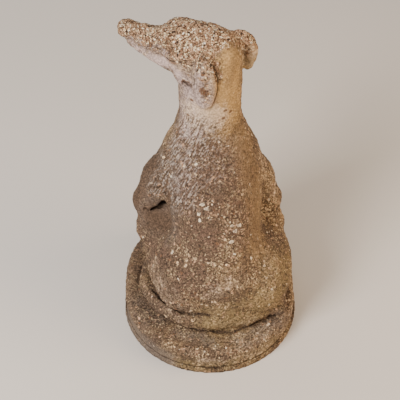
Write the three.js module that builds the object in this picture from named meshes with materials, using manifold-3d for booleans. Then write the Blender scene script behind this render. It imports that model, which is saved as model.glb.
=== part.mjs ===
// A weathered cast stone hound that sits on a round-ended plinth, cast with it as one solid.
//
// Frame, in millimetres: +Z is up, the hound faces -Y, and its own left is +X. The origin is the
// middle of the plinth's underside. The head is turned to the hound's left.
//
// The figure is a carved free form. Its muscles and bones are limbs and eggs, each a distance
// formula, blended into one another like clay. All their places and radii are shares of the
// figure's height, in hundredths, counted from the middle of the plinth's top. The blended form is
// skinned with triangles, joined to the plinth, and thinned to fewer triangles where it is plain.

import * as THREE from "three";
import { edgeTable, triTable } from "three/addons/objects/MarchingCubes.js";
import { mergeVertices } from "three/addons/utils/BufferGeometryUtils.js";
import Module from "manifold-3d";

// Driving dimensions, in millimetres.
const PLINTH_LENGTH = 350; // along Y
const PLINTH_WIDTH = 304; // along X
const PLINTH_THICKNESS = 45;
const PLINTH_TOP_ROUNDING = 14; // radius of the worn upper edge
const PLINTH_LIP = 3; // how far the rim at the foot stands out
const PLINTH_LIP_HEIGHT = 9;
const FIGURE_HEIGHT = 490; // from the plinth's top to the crown of the head
const ROOTED = 11; // how far the figure reaches down into the plinth

// How finely the surface is cut.
const SKIN_CELL = 3.92; // size of a cell of the skin
const TRIANGLES = 9400; // left after thinning
const ROUND_STEPS = 28; // steps in each half-round end of the plinth
const ROUNDING_STEPS = 4; // steps in the plinth's rounded edge
const EVENNESS = 1e-5; // how much thinning minds long, crowded edges
const LEAST_ALIGNMENT = 0.15; // cosine of the most that a facet may turn in one step of thinning

const HUNDREDTH = FIGURE_HEIGHT / 100;
const SPARE = PLINTH_THICKNESS; // how far the plinth is carried below the floor, then cut off
const MIRROR = [1, -1]; // the hound's left side, then its right side

// Forms. Each is a function of a point that gives its distance, negative inside.

const mix = (a, b, t) => a + (b - a) * t;
const distance = (x, y, z) => Math.sqrt(x * x + y * y + z * z);

/** A ball of radius ra at a, swept to a ball of radius rb at b. */
function limb(a, b, ra, rb) {
  const [ax, ay, az] = a;
  const [dx, dy, dz] = [b[0] - ax, b[1] - ay, b[2] - az];
  const lengthSquared = dx * dx + dy * dy + dz * dz;
  return (x, y, z) => {
    const px = x - ax;
    const py = y - ay;
    const pz = z - az;
    const along = (px * dx + py * dy + pz * dz) / lengthSquared;
    const t = along < 0 ? 0 : Math.min(along, 1);
    return distance(px - dx * t, py - dy * t, pz - dz * t) - mix(ra, rb, t);
  };
}

/** An egg of three radii, turned by degrees about X, Y and Z. */
function egg(at, radii, turn = [0, 0, 0]) {
  const inward = new THREE.Matrix4()
    .makeRotationFromEuler(
      new THREE.Euler(...turn.map(THREE.MathUtils.degToRad), "ZYX"),
    )
    .transpose();
  const m = inward.elements;
  const [rx, ry, rz] = radii;
  const smallest = Math.min(rx, ry, rz);
  return (x, y, z) => {
    const px = x - at[0];
    const py = y - at[1];
    const pz = z - at[2];
    const qx = (m[0] * px + m[4] * py + m[8] * pz) / rx;
    const qy = (m[1] * px + m[5] * py + m[9] * pz) / ry;
    const qz = (m[2] * px + m[6] * py + m[10] * pz) / rz;
    const k0 = distance(qx, qy, qz);
    const k1 = distance(qx / rx, qy / ry, qz / rz);
    return k1 > 1e-9 ? (k0 * (k0 - 1)) / k1 : -smallest;
  };
}

/** A rope of changing radius along a smooth curve through points. */
function rope(points, radiusAt, steps) {
  const curve = new THREE.CatmullRomCurve3(
    points.map((p) => new THREE.Vector3(...p)),
    false,
    "centripetal",
  );
  const along = curve.getPoints(steps).map((p) => p.toArray());
  const pieces = along
    .slice(1)
    .map((end, i) =>
      limb(along[i], end, radiusAt(i / steps), radiusAt((i + 1) / steps)),
    );
  return (x, y, z) => {
    let nearest = Infinity;
    for (const piece of pieces) nearest = Math.min(nearest, piece(x, y, z));
    return nearest;
  };
}

/** Forms that run into one another over a width, like clay. */
function blend(width, ...forms) {
  return (x, y, z) => {
    let made = forms[0](x, y, z);
    for (let i = 1; i < forms.length; i += 1) {
      const next = forms[i](x, y, z);
      const overlap = Math.max(width - Math.abs(made - next), 0) / width;
      made = Math.min(made, next) - (overlap * overlap * width) / 4;
    }
    return made;
  };
}

/** A form with tools carved out of it, their edges softened over a width. */
function carve(width, form, ...tools) {
  return (x, y, z) => {
    let left = form(x, y, z);
    for (const tool of tools) {
      const cut = -tool(x, y, z);
      const overlap = Math.max(width - Math.abs(left - cut), 0) / width;
      left = Math.max(left, cut) + (overlap * overlap * width) / 4;
    }
    return left;
  };
}

/** A form placed in a frame of its own, and left unmeasured far outside a ball around it. */
function placed(form, frame, reach) {
  const inward = frame.clone().invert();
  const m = inward.elements;
  return (x, y, z) => {
    const qx = m[0] * x + m[4] * y + m[8] * z + m[12];
    const qy = m[1] * x + m[5] * y + m[9] * z + m[13];
    const qz = m[2] * x + m[6] * y + m[10] * z + m[14];
    const outside = distance(qx, qy, qz) - reach;
    return outside > reach ? outside : form(qx, qy, qz);
  };
}

// The figure, in hundredths of its height.

/** Ribs, loin, rump and thighs, with the neck up to the head. */
function trunk() {
  const rump = egg([-3.4, 9.6, 12.2], [18, 14.6, 13.8]);
  const seat = egg([-3, 6, 3], [20.6, 18.8, 8]);
  const loin = limb([-2.8, 5.6, 20.5], [-1.3, -9.6, 48], 15.4, 14.8);
  const ribs = egg([-0.3, -11.6, 43.5], [15.1, 14.2, 18.5], [14, 0, 0]);
  const breast = egg([0, -19, 48], [8.6, 8.2, 12.5], [10, 0, 0]);
  const withers = limb([-0.4, -9, 48], [-0.4, -12.6, 58], 10.5, 7.6);
  const neck = limb([-0.7, -12.6, 62], [-0.5, -14.6, 86], 9.7, 10);
  const throat = limb([1.6, -18, 62], [3.4, -19, 80], 7, 6);
  const lean = -4.2; // the hindquarters lean to the hound's right
  const thighs = MIRROR.map((side) =>
    egg([side * 13.5 + lean, 4.1, 12.4], [11.1, 18, 13.6], [-8, 0, 0]),
  );
  return blend(
    5,
    blend(9, rump, seat, loin, ribs, breast, withers),
    blend(5, neck, throat),
    ...thighs,
  );
}

/** Shoulder, upper arm, forearm and paw. */
function foreleg(side) {
  const shoulderTop = [side * 5.9, -11, 53.6];
  const shoulderPoint = [side * 7.4, -18.6, 49];
  const upperArm = [side * 15.2 + 0.4, -12.4, 38.6];
  const elbow = [side * 19.9 + 0.5, -12, 28.6];
  const wrist = [side * 16.8, -18.8, 10];
  const foot = [side * 16.4, -22, 3.4];
  return blend(
    4,
    blend(
      5,
      limb(shoulderTop, shoulderPoint, 6.2, 6.2),
      limb(shoulderPoint, upperArm, 6, 5.8),
      limb(shoulderTop, upperArm, 5.8, 5.9),
      limb(upperArm, elbow, 5.9, 5.6),
    ),
    limb(elbow, wrist, 5.2, 3.4),
    limb(wrist, foot, 3.4, 3.8),
    paw([side * 16.4, -25.4, 2.6], 4.6),
  );
}

/** Four toes side by side, with the heel of the paw behind them. */
function paw(at, size) {
  const [x, y, z] = at;
  const toes = [-1.5, -0.5, 0.5, 1.5].map((place) => {
    const lead = Math.abs(place) < 1 ? 0.5 : -0.3;
    return limb(
      [x + place * size * 0.42, y + size * 0.6, z + 0.7],
      [x + place * size * 0.46, y - size * (0.35 + lead * 0.4), z - 0.3],
      size * 0.36,
      size * 0.34,
    );
  });
  return blend(0.8, ...toes);
}

/** Knee, shin, hock and hind paw, folded beside the body. */
function hindleg(side) {
  const [knee, shin, hock] =
    side > 0
      ? [[19.6, -8, 18.6], [17, 6.6, 6], [15, 12, 2.6]]
      : [[-20.6, -8, 20], [-22.8, 8, 5], [-23.2, 17.2, 3]];
  const toes = [side * 20.8 - 0.5, -14, 2.4];
  return blend(
    3,
    limb([side * 12.6 - 3.6, 0, 15], knee, 9, 6.2),
    limb([side * 19.4 - 1, -5.5, 13], shin, 5, 4.4),
    limb(hock, [side * 20 - 0.8, -8, 2.6], 3.1, 3.1),
    paw(toes, 4.6),
  );
}

/** The tail leaves the rump, lies on the plinth and goes round the left thigh. */
function tail() {
  const route = [
    [-2, 22.4, 3.8],
    [2.4, 23, 3.4],
    [9.8, 20.8, 3],
    [18.2, 14.3, 2.8],
    [22.4, 5.9, 2.6],
    [22.8, 0.8, 2.4],
    [20.6, -8.6, 1.8],
  ];
  const root = 3.6;
  const tip = 2.2;
  return rope(route, (t) => mix(root, tip, Math.pow(t, 0.8)), 22);
}

/** The groove between the tail and the haunch above it, which fades out at the tail's root. */
function tailGroove() {
  const route = [
    [0.6, 25, 8.4],
    [5, 24.2, 8],
    [10.8, 21, 7.2],
    [16.8, 14.8, 6.5],
    [20.5, 7.4, 6],
    [20.9, -1, 5.4],
  ];
  return rope(route, (t) => mix(0.8, 1.5, Math.min(3 * t, 1)), 18);
}

/** Stone left between the legs and under the chest, so that no thin part can break. */
function web() {
  return blend(
    5,
    limb([0, -4, 4], [0, -6, 28], 13.5, 12),
    egg([0, -14, 36], [12, 8, 9]),
    ...MIRROR.map((side) => limb([side * 13.6, -12, 30], [side * 14, -13, 6], 4.8, 4)),
    ...MIRROR.map((side) => limb([side * 20, -10.4, 28], [side * 20.4, -8.4, 20], 3.8, 4.6)),
    ...MIRROR.map((side) => limb([side * 13, -8, 25], [side * 18, -8, 22], 5, 5.2)),
  );
}

/** The slot under the left elbow, between the arm and the flank, lower at its outer end. */
function elbowSlot() {
  return egg([16.9, -9.4, 31], [5.6, 5, 1.2], [0, 24, 0]);
}

/** The head about the middle of the skull: +X to the nose, +Y to its left, +Z up. */
function head() {
  const skull = egg([-1, 0, 0.3], [10.4, 7.8, 7.3], [0, -9, 0]);
  const bridge = [
    [7, 0, 1.4],
    [12, 0, 0.4],
    [16.6, 0, -0.4],
    [21, 0, 0.5],
    [25.6, 0, 1.3],
  ];
  const muzzle = rope(bridge, (t) => mix(6.2, 2.9, Math.pow(t, 0.7)), 8);
  const nose = egg([26.4, 0, 1.6], [2.8, 2.6, 2.4]);
  const cheeks = MIRROR.map((side) => egg([4.4, side * 4.3, -2.6], [7.2, 4.2, 5.8]));
  const brows = MIRROR.map((side) =>
    egg([9.8, side * 3, 4.2], [3.2, 2.5, 2.4], [0, 12, side * 14]),
  );
  const chin = [
    [1, 0, -9],
    [9, 0, -8],
    [18.4, 0, -4.9],
    [24.6, 0, -2.4],
  ];
  const jaw = blend(
    2,
    rope(chin, (t) => mix(5, 2, t), 6),
    ...MIRROR.map((side) => egg([4.6, side * 4, -8.4], [4.8, 4, 3.9])),
  );
  const sockets = MIRROR.map((side) => egg([11.8, side * 5.6, 1.6], [2.8, 1.6, 1.9]));
  const eyes = MIRROR.map((side) => egg([11.4, side * 4.3, 1.5], [1.7, 1.1, 1.1]));
  const nostrils = MIRROR.map((side) => egg([29, side * 1.1, 1.5], [0.9, 0.6, 0.7]));
  const upper = blend(3, skull, blend(2, muzzle, nose), ...cheeks, ...brows);
  const carved = blend(0.5, carve(1.6, upper, ...sockets), ...eyes);
  return blend(0.7, carve(0.4, carved, ...nostrils), jaw);
}

/** A soft ear flap from its root to its tip, with a hollow low on the outward side. */
function ear(root, tip, width, thickness, outward) {
  const along = new THREE.Vector3(...tip).sub(new THREE.Vector3(...root));
  const length = along.length();
  const down = along.normalize();
  const across = new THREE.Vector3(...outward).cross(down).normalize();
  const out = down.clone().cross(across);
  const frame = new THREE.Matrix4()
    .makeBasis(out, across, down)
    .setPosition(...root.map((c, i) => mix(c, tip[i], 0.5)));
  const flap = carve(
    1,
    egg([0, 0, 0], [thickness, width, length * 0.56]),
    egg([thickness * 1.25, 0, length * 0.14], [thickness * 0.62, width * 0.56, length * 0.26]),
  );
  return placed(flap, frame, length);
}

/** The right ear stands off the back of the skull before it falls, with stone left behind it. */
function thrownBackEar() {
  const route = [
    [-6.5, -16, 94.5],
    [-10, -17, 93.6],
    [-12.6, -17.4, 90],
    [-12.8, -17.4, 86],
    [-12, -17.2, 83.4],
  ];
  const flap = rope(route, (t) => 2.1 + 0.5 * Math.sin(Math.PI * t), 12);
  return blend(1, flap, limb([-8, -18, 89], [-12, -19.4, 86], 3, 1.6));
}

/** The whole figure, cut off flat inside the plinth. */
function figure() {
  const headTurn = 70; // degrees from straight ahead, to the hound's left
  const headFrame = new THREE.Matrix4()
    .makeRotationZ(THREE.MathUtils.degToRad(headTurn - 90))
    .setPosition(1, -14.7, 91.6);
  const nearEar = ear([2, -6.2, 94.2], [1.8, -3.4, 77.2], 4.1, 2.2, [0, 1, 0]);
  const underJaw = egg([7.9, -6.2, 82.2], [3.2, 2.8, 1.5], [0, 0, 20]);
  const body = blend(
    2,
    trunk(),
    ...MIRROR.map(foreleg),
    ...MIRROR.map(hindleg),
    web(),
  );
  const carved = carve(
    0.6,
    blend(2, body, placed(head(), headFrame, 34)),
    underJaw,
    elbowSlot(),
    tailGroove(),
  );
  const whole = blend(0.6, carved, nearEar, thrownBackEar(), tail());
  return (x, y, z) => Math.max(whole(x, y, z), -ROOTED / HUNDREDTH - z);
}

// Skinning: the surface where a form's distance is zero, by marching cubes.

/** Corners of a cell, and the pairs of corners that its twelve edges join, as the tables count them. */
const CORNERS = [
  [0, 0, 0],
  [1, 0, 0],
  [1, 1, 0],
  [0, 1, 0],
  [0, 0, 1],
  [1, 0, 1],
  [1, 1, 1],
  [0, 1, 1],
];
const EDGES = [
  [0, 1],
  [1, 2],
  [2, 3],
  [3, 0],
  [4, 5],
  [5, 6],
  [6, 7],
  [7, 4],
  [0, 4],
  [1, 5],
  [2, 6],
  [3, 7],
];

/** Distances on a grid from low to high. Far from the surface a coarse block stands for its cells. */
function sampled(form, low, high, cell) {
  const block = 4;
  const reach = 1.45; // how far from a block's middle its cells may lie, in blocks, with some to spare
  const counts = low.map((c, i) => block * Math.ceil((high[i] - c) / cell / block) + 1);
  const [nx, ny, nz] = counts;
  const values = new Float32Array(nx * ny * nz);
  const far = block * cell * reach;
  for (let k = 0; k < nz; k += block) {
    for (let j = 0; j < ny; j += block) {
      for (let i = 0; i < nx; i += block) {
        const half = block / 2;
        const middle = form(
          low[0] + (i + half) * cell,
          low[1] + (j + half) * cell,
          low[2] + (k + half) * cell,
        );
        const plain = Math.abs(middle) > far;
        for (let c = k; c < Math.min(k + block, nz); c += 1) {
          for (let b = j; b < Math.min(j + block, ny); b += 1) {
            for (let a = i; a < Math.min(i + block, nx); a += 1) {
              values[a + nx * (b + ny * c)] = plain
                ? middle
                : form(low[0] + a * cell, low[1] + b * cell, low[2] + c * cell);
            }
          }
        }
      }
    }
  }
  return { values, counts };
}

/** The closed surface of a form, as flat lists of coordinates and of corner numbers. */
function skin(form, low, high, cell) {
  const { values, counts } = sampled(form, low, high, cell);
  const [nx, ny, nz] = counts;
  const positions = [];
  const triangles = [];
  const made = new Map();
  const least = 0.02; // how near a grid point the surface may cut an edge, as a share of the edge
  const cornerStep = CORNERS.map(([a, b, c]) => a + nx * (b + ny * c));

  const vertexOn = (i, j, k, edge) => {
    const [from, to] = EDGES[edge];
    const base = i + nx * (j + ny * k);
    const [p, q] = [base + cornerStep[from], base + cornerStep[to]];
    const key = Math.min(p, q) * values.length + Math.max(p, q);
    if (made.has(key)) return made.get(key);
    const t = THREE.MathUtils.clamp(values[p] / (values[p] - values[q]), least, 1 - least);
    [i, j, k].forEach((c, axis) => {
      const place = c + mix(CORNERS[from][axis], CORNERS[to][axis], t);
      positions.push(low[axis] + place * cell);
    });
    made.set(key, made.size);
    return made.size - 1;
  };

  for (let k = 0; k < nz - 1; k += 1) {
    for (let j = 0; j < ny - 1; j += 1) {
      for (let i = 0; i < nx - 1; i += 1) {
        const base = i + nx * (j + ny * k);
        let kind = 0;
        for (let c = 0; c < 8; c += 1) {
          if (values[base + cornerStep[c]] < 0) kind |= 1 << c;
        }
        if (edgeTable[kind] === 0) continue;
        for (let t = kind * 16; triTable[t] !== -1; t += 3) {
          const corners = [0, 1, 2].map((n) => vertexOn(i, j, k, triTable[t + n]));
          triangles.push(corners[0], corners[2], corners[1]);
        }
      }
    }
  }
  return { positions, triangles };
}

// Thinning: the edge whose loss changes the shape least is closed up, again and again.

/** The plane of a triangle as a quadric of ten numbers, weighted by the triangle's area. */
function planeQuadric(p, q, r) {
  const [ux, uy, uz] = [q[0] - p[0], q[1] - p[1], q[2] - p[2]];
  const [vx, vy, vz] = [r[0] - p[0], r[1] - p[1], r[2] - p[2]];
  const cross = [uy * vz - uz * vy, uz * vx - ux * vz, ux * vy - uy * vx];
  const size = Math.hypot(...cross);
  if (size < 1e-12) return new Float64Array(10);
  const [a, b, c] = cross.map((n) => n / size);
  const d = -(a * p[0] + b * p[1] + c * p[2]);
  const w = size / 2;
  const terms = [a * a, a * b, a * c, a * d, b * b, b * c, b * d, c * c, c * d, d * d];
  return Float64Array.from(terms, (n) => n * w);
}

const quadricAt = (q, [x, y, z]) =>
  q[0] * x * x +
  2 * q[1] * x * y +
  2 * q[2] * x * z +
  2 * q[3] * x +
  q[4] * y * y +
  2 * q[5] * y * z +
  2 * q[6] * y +
  q[7] * z * z +
  2 * q[8] * z +
  q[9];

/** The point where a quadric is least, or null where it has no clear one. */
function lowestPoint(q) {
  const [a, b, c, , e, f, , h] = q;
  const det = a * (e * h - f * f) - b * (b * h - f * c) + c * (b * f - e * c);
  const scale = (a + e + h) / 3;
  if (Math.abs(det) < 1e-4 * scale * scale * scale) return null;
  const [x, y, z] = [-q[3], -q[6], -q[8]];
  return [
    (x * (e * h - f * f) - b * (y * h - f * z) + c * (y * f - e * z)) / det,
    (a * (y * h - f * z) - x * (b * h - f * c) + c * (b * z - y * c)) / det,
    (a * (e * z - y * f) - b * (b * z - y * c) + x * (b * f - e * c)) / det,
  ];
}

/** A closed mesh with its least telling edges closed up until it has so many triangles. */
function thinned({ positions, triangles }, target) {
  const count = positions.length / 3;
  const points = Array.from({ length: count }, (_, i) => positions.slice(3 * i, 3 * i + 3));
  const faces = [];
  for (let i = 0; i < triangles.length; i += 3) faces.push(triangles.slice(i, i + 3));
  const around = points.map(() => new Set());
  const quadrics = points.map(() => new Float64Array(10));
  faces.forEach((face, number) => {
    const plane = planeQuadric(...face.map((v) => points[v]));
    for (const v of face) {
      around[v].add(number);
      for (let n = 0; n < 10; n += 1) quadrics[v][n] += plane[n];
    }
  });
  const version = new Int32Array(count);
  const heap = [];

  const swap = (i, j) => {
    [heap[i], heap[j]] = [heap[j], heap[i]];
  };
  const push = (entry) => {
    let i = heap.push(entry) - 1;
    while (i > 0 && heap[(i - 1) >> 1].cost > heap[i].cost) {
      swap(i, (i - 1) >> 1);
      i = (i - 1) >> 1;
    }
  };
  const pop = () => {
    const top = heap[0];
    const last = heap.pop();
    if (heap.length === 0) return top;
    heap[0] = last;
    for (let i = 0; ; ) {
      let least = i;
      for (const child of [2 * i + 1, 2 * i + 2]) {
        if (child < heap.length && heap[child].cost < heap[least].cost) least = child;
      }
      if (least === i) return top;
      swap(i, least);
      i = least;
    }
  };

  const neighbours = (v) => {
    const found = new Set([...around[v]].flatMap((f) => faces[f]));
    found.delete(v);
    return found;
  };
  const offer = (u, v) => {
    const q = quadrics[u].map((n, i) => n + quadrics[v][i]);
    const middle = points[u].map((c, i) => (c + points[v][i]) / 2);
    const span = Math.hypot(...points[u].map((c, i) => c - points[v][i]));
    const lowest = lowestPoint(q);
    const choices = [middle, points[u], points[v]];
    if (lowest && Math.hypot(...lowest.map((c, i) => c - middle[i])) < span) {
      choices.unshift(lowest);
    }
    let best = null;
    let cost = Infinity;
    for (const choice of choices) {
      const here = quadricAt(q, choice);
      if (here < cost - 1e-12) [best, cost] = [choice, here];
    }
    cost = Math.max(cost, 0) + EVENNESS * span * span * (around[u].size + around[v].size);
    push({ u, v, best, cost, stamp: [version[u], version[v]] });
  };
  const turnsOver = (v, gone, moved) => {
    for (const f of around[v]) {
      const face = faces[f];
      if (face.includes(gone)) continue;
      const before = face.map((w) => points[w]);
      const after = face.map((w) => (w === v ? moved : points[w]));
      const [n0, n1] = [before, after].map(([p, q, r]) => {
        const [u, w] = [q, r].map((s) => s.map((c, i) => c - p[i]));
        return [
          u[1] * w[2] - u[2] * w[1],
          u[2] * w[0] - u[0] * w[2],
          u[0] * w[1] - u[1] * w[0],
        ];
      });
      const dot = n0[0] * n1[0] + n0[1] * n1[1] + n0[2] * n1[2];
      if (dot <= LEAST_ALIGNMENT * Math.hypot(...n0) * Math.hypot(...n1)) return true;
    }
    return false;
  };

  const joined = new Set();
  for (const face of faces) {
    for (let n = 0; n < 3; n += 1) {
      const [u, v] = [face[n], face[(n + 1) % 3]].sort((a, b) => a - b);
      const key = u * count + v;
      if (joined.has(key)) continue;
      joined.add(key);
      offer(u, v);
    }
  }
  let left = faces.length;
  while (left > target && heap.length > 0) {
    const { u, v, best, stamp } = pop();
    if (stamp[0] !== version[u] || stamp[1] !== version[v]) continue;
    const [nearU, nearV] = [neighbours(u), neighbours(v)];
    const shared = [...nearU].filter((w) => nearV.has(w));
    if (shared.length !== 2 || turnsOver(u, v, best) || turnsOver(v, u, best)) continue;
    for (const f of [...around[v]]) {
      const face = faces[f];
      if (face.includes(u)) {
        for (const w of face) around[w].delete(f);
        faces[f] = null;
        left -= 1;
      } else {
        face[face.indexOf(v)] = u;
        around[u].add(f);
      }
    }
    around[v].clear();
    points[u] = best;
    for (let n = 0; n < 10; n += 1) quadrics[u][n] += quadrics[v][n];
    version[u] += 1;
    version[v] = -1;
    for (const w of neighbours(u)) offer(u, w);
  }
  const kept = faces.filter(Boolean);
  const order = new Map();
  for (const v of kept.flat()) {
    if (!order.has(v)) order.set(v, order.size);
  }
  return {
    positions: [...order.keys()].flatMap((v) => points[v]),
    triangles: kept.flat().map((v) => order.get(v)),
  };
}

// Joining and cutting.

const wasm = await Module();
wasm.setup();

/** A closed mesh as a solid that can be joined and cut. */
function solidOf({ positions, triangles }) {
  return new wasm.Manifold(
    new wasm.Mesh({
      numProp: 3,
      vertProperties: new Float32Array(positions),
      triVerts: new Uint32Array(triangles),
    }),
  );
}

/** A solid's mesh, as flat lists. */
function meshOf(solid) {
  const mesh = solid.getMesh();
  return {
    positions: Array.from(mesh.vertProperties),
    triangles: Array.from(mesh.triVerts),
  };
}

/** A three.js geometry's mesh with its shared corners merged, as flat lists. */
function meshOfGeometry(geometry) {
  const bare = geometry.clone();
  bare.deleteAttribute("normal");
  bare.deleteAttribute("uv");
  const merged = mergeVertices(bare, 1e-4);
  return {
    positions: Array.from(merged.attributes.position.array),
    triangles: Array.from(merged.index.array),
  };
}

/** A mesh as a three.js geometry with a flat normal on every facet. */
function geometryOf({ positions, triangles }) {
  const indexed = new THREE.BufferGeometry();
  indexed.setAttribute("position", new THREE.Float32BufferAttribute(positions, 3));
  indexed.setIndex(triangles);
  const made = indexed.toNonIndexed();
  made.computeVertexNormals();
  return made;
}

/** The plinth's oval outline with half-round ends, drawn in by a distance all round. */
function plinthOutline(inset) {
  const radius = PLINTH_WIDTH / 2 - inset;
  const straight = (PLINTH_LENGTH - PLINTH_WIDTH) / 2;
  const outline = new THREE.Shape();
  outline.absarc(0, straight, radius, 0, Math.PI);
  outline.absarc(0, -straight, radius, Math.PI, 2 * Math.PI);
  outline.closePath();
  return outline;
}

/** A slab of the plinth's outline from below the floor up to a top, with rounded edges. */
function slab(inset, top, rounding, steps) {
  const made = new THREE.ExtrudeGeometry(plinthOutline(inset + rounding), {
    depth: top + SPARE - 2 * rounding,
    bevelSize: rounding,
    bevelThickness: rounding,
    bevelSegments: steps,
    curveSegments: ROUND_STEPS,
  });
  return made.translate(0, 0, rounding - SPARE);
}

/** The plinth with its worn upper edge and the low rim at its foot. */
function plinth() {
  const top = slab(PLINTH_LIP, PLINTH_THICKNESS, PLINTH_TOP_ROUNDING, ROUNDING_STEPS);
  const rim = slab(0, PLINTH_LIP_HEIGHT, PLINTH_LIP / 2, 1);
  return solidOf(meshOfGeometry(top)).add(solidOf(meshOfGeometry(rim)));
}

/** Everything below the floor, as a block to cut away. */
function belowTheFloor() {
  const depth = 2 * SPARE;
  const block = new THREE.BoxGeometry(2 * PLINTH_WIDTH, 2 * PLINTH_LENGTH, depth);
  return solidOf(meshOfGeometry(block.translate(0, 0, -depth / 2)));
}

/** The figure's skin at its real size, standing in the plinth's top. */
function figureMesh() {
  const low = [-30, -34, -ROOTED / HUNDREDTH - 2];
  const high = [34, 34, 104];
  const { positions, triangles } = skin(figure(), low, high, SKIN_CELL / HUNDREDTH);
  return {
    positions: positions.map((c, i) => c * HUNDREDTH + (i % 3 === 2 ? PLINTH_THICKNESS : 0)),
    triangles,
  };
}

const cast = solidOf(figureMesh()).add(plinth());
const statue = solidOf(thinned(meshOf(cast), TRIANGLES)).subtract(belowTheFloor());

const stone = new THREE.MeshStandardMaterial({
  name: "weathered_cast_stone",
  color: new THREE.Color(0.42, 0.36, 0.28),
  roughness: 0.95,
  metalness: 0,
});
const seatedHound = new THREE.Mesh(geometryOf(meshOf(statue)), stone);
seatedHound.name = "seated_hound";

const part = new THREE.Group();
part.add(seatedHound);

export default part;
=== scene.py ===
"""The looks of a weathered cast stone hound that sits, head turned, on a plinth cast with it.

The part's solid is copied and skinned afresh. Its face and creases are cut sharper, its
surface gets the relief of worn stone, and one stone finish colours it by where it is weathered,
with painted shade in its hollows, furrows and creases and painted light on some shaded parts.
"""

import math

import bpy
import numpy as np
from bpy.props import FloatProperty, FloatVectorProperty, IntProperty, PointerProperty
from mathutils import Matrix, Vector


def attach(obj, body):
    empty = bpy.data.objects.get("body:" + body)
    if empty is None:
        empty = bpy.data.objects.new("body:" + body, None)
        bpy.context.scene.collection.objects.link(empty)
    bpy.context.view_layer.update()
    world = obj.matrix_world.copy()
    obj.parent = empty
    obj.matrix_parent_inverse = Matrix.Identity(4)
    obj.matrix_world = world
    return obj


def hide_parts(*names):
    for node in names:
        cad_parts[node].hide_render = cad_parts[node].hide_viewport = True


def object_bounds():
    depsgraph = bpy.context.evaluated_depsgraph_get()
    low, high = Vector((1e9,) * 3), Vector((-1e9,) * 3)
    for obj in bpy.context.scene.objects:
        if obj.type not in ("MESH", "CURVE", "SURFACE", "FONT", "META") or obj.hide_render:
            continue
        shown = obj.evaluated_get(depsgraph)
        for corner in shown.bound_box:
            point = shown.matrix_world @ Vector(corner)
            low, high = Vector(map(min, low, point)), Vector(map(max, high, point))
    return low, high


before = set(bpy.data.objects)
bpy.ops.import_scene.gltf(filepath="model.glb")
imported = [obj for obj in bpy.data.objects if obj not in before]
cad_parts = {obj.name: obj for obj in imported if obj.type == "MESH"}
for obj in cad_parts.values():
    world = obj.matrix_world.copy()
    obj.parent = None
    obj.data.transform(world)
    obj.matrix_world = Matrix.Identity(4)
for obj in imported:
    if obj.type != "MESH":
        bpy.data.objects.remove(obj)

bl_info = {
    "name": "Weathered Stone Hound",
    "version": (1, 0, 0),
    "blender": (4, 5, 0),
    "location": "View3D > Sidebar > Stone Hound",
    "description": "Skins, carves and weathers a cast stone hound, and sets it on a studio floor",
    "category": "Object",
}

NODE = "seated_hound"
PIECE = "weathered_hound"
BODY = "root"
SLOT = "weathered_cast_stone"
CAD_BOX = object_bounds()

RIGHT_FLANK = [
    (-0.044, -0.030, 0.363), (-0.057, -0.017, 0.332), (-0.066, 0.002, 0.295),
    (-0.074, 0.014, 0.250), (-0.075, 0.034, 0.212), (-0.073, 0.058, 0.189),
]
PLINTH_LEFT_SIDE = [(0.144, 0.060, 0.014), (0.118, 0.115, 0.014), (0.074, 0.152, 0.014)]
FLAKES = [
    (0.014, 0.041, 0.269), (0.007, 0.045, 0.263), (-0.034, 0.058, 0.236), (-0.046, 0.054, 0.233),
    (-0.039, 0.061, 0.227), (-0.032, 0.072, 0.213), (0.020, 0.046, 0.253),
]
SPOTS = [
    (-0.024, -0.023, 0.410), (-0.021, -0.021, 0.396), (-0.032, -0.028, 0.404), (0.035, -0.035, 0.392),
    (0.028, -0.031, 0.425), (-0.088, 0.104, 0.050), (-0.040, 0.124, 0.047),
]


def spot(strength, radius, place):
    """A round patch."""
    return strength, radius, [place, (place[0] + radius, *place[1:])]
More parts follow.
